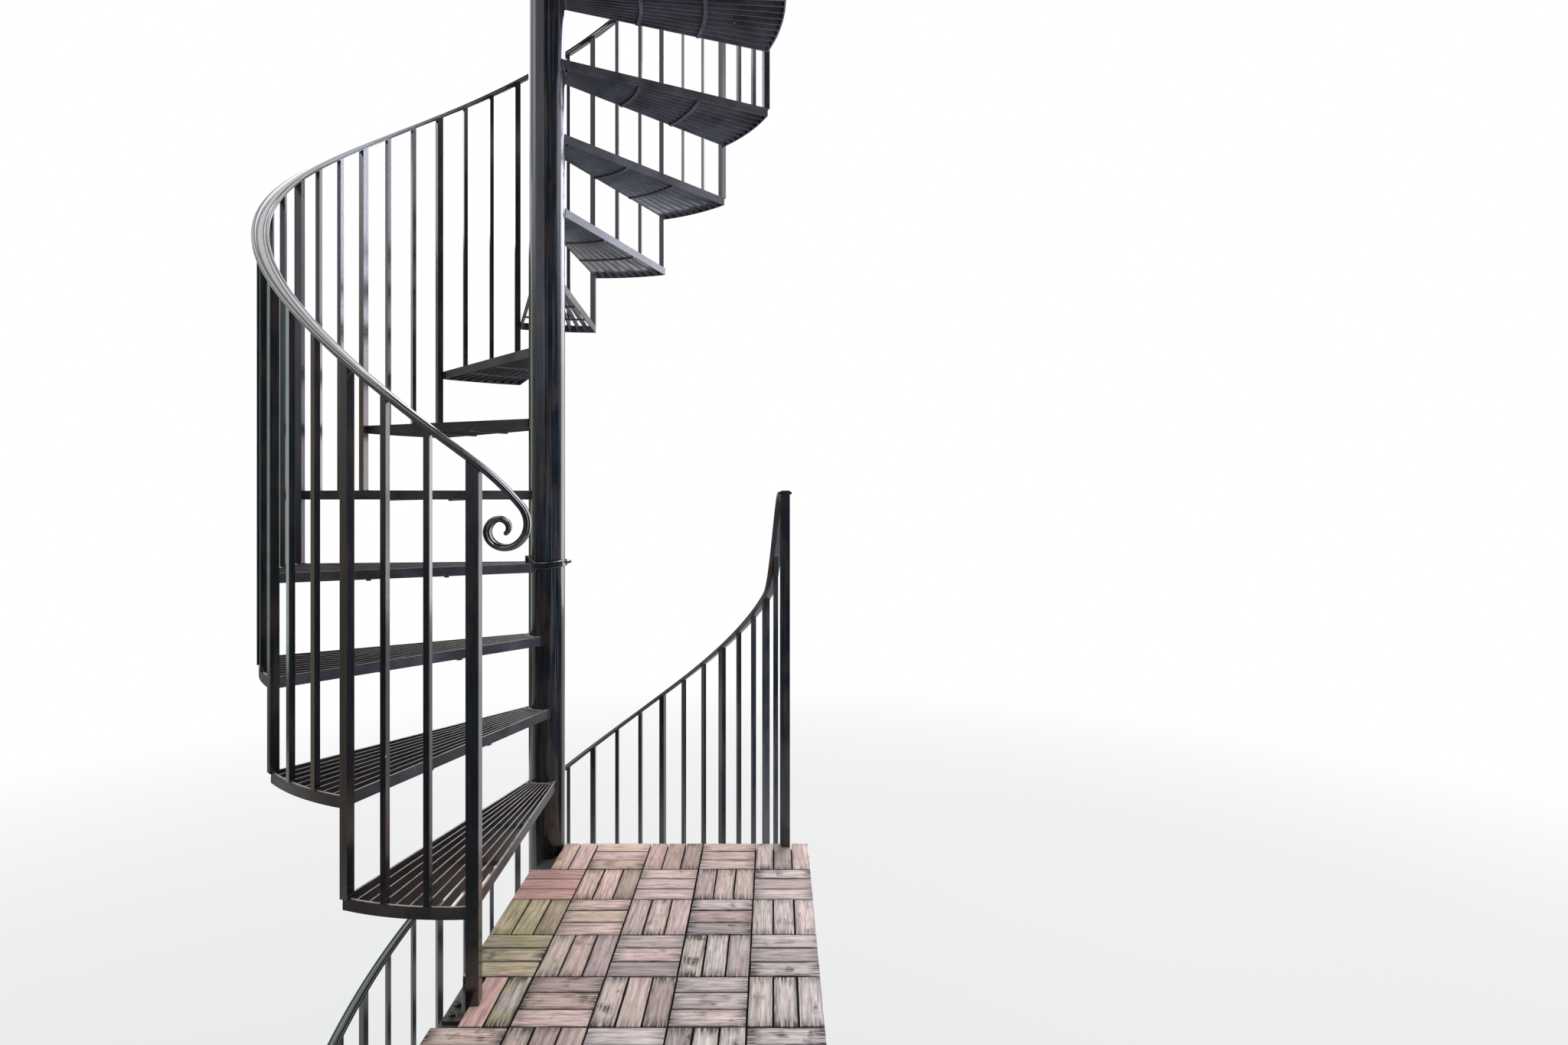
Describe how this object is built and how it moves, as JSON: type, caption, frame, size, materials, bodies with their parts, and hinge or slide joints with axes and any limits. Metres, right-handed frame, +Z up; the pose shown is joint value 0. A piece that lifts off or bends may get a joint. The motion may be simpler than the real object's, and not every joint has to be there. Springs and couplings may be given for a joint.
{
  "type": "spiral staircase",
  "caption": "Black steel outdoor spiral stair: centre pole, open bar treads, square balusters, moulded handrail with scroll ends, and wood-decked landings.",
  "frame": {"origin": "middle of the base plate's underside, on the ground", "axes": "+Z up along the centre pole; +Y and +X along the two edges of the landings that meet at the pole, seen in the picture as away from the camera and to the right"},
  "size_m": [1.476, 1.6282, 6.9334],
  "materials": {
    "black_paint": "black exterior enamel on steel, semi-gloss, with dust and small chips",
    "tread_paint": "black enamel worn satin and dusty on the treads",
    "rail_paint": "black enamel polished by hands, glossy",
    "deck_wood": "weathered red-brown hardwood tiles, greyed and greenish in places"
  },
  "bodies": {
    "root": {"base_plate": "black_paint", "centre_pole": "black_paint", "pole_cap": "black_paint", "pole_clamp": "black_paint", "lower_tread_01": "tread_paint", "lower_tread_02": "tread_paint", "lower_tread_03": "tread_paint", "lower_tread_04": "tread_paint", "lower_tread_05": "tread_paint", "lower_tread_06": "tread_paint", "lower_tread_07": "tread_paint", "lower_tread_08": "tread_paint", "lower_tread_09": "tread_paint", "lower_tread_10": "tread_paint", "lower_tread_11": "tread_paint", "lower_tread_12": "tread_paint", "lower_tread_13": "tread_paint", "lower_tread_14": "tread_paint", "upper_tread_01": "tread_paint", "upper_tread_02": "tread_paint", "upper_tread_03": "tread_paint", "upper_tread_04": "tread_paint", "upper_tread_05": "tread_paint", "upper_tread_06": "tread_paint", "upper_tread_07": "tread_paint", "upper_tread_08": "tread_paint", "upper_tread_09": "tread_paint", "upper_tread_10": "tread_paint", "upper_tread_11": "tread_paint", "upper_tread_12": "tread_paint", "lower_main_balusters": "black_paint", "lower_fill_balusters": "black_paint", "upper_main_balusters": "black_paint", "upper_fill_balusters": "black_paint", "bottom_newel": "black_paint", "mid_newel": "black_paint", "mid_corner_post": "black_paint", "top_corner_post": "black_paint", "lower_handrail": "rail_paint", "upper_handrail": "rail_paint", "mid_landing_frame": "black_paint", "mid_landing_deck": "deck_wood", "top_landing_frame": "black_paint", "top_landing_deck": "deck_wood", "top_guard_rail": "rail_paint", "top_guard_post": "black_paint", "top_guard_infill": "black_paint"}
  },
  "joints": []
}
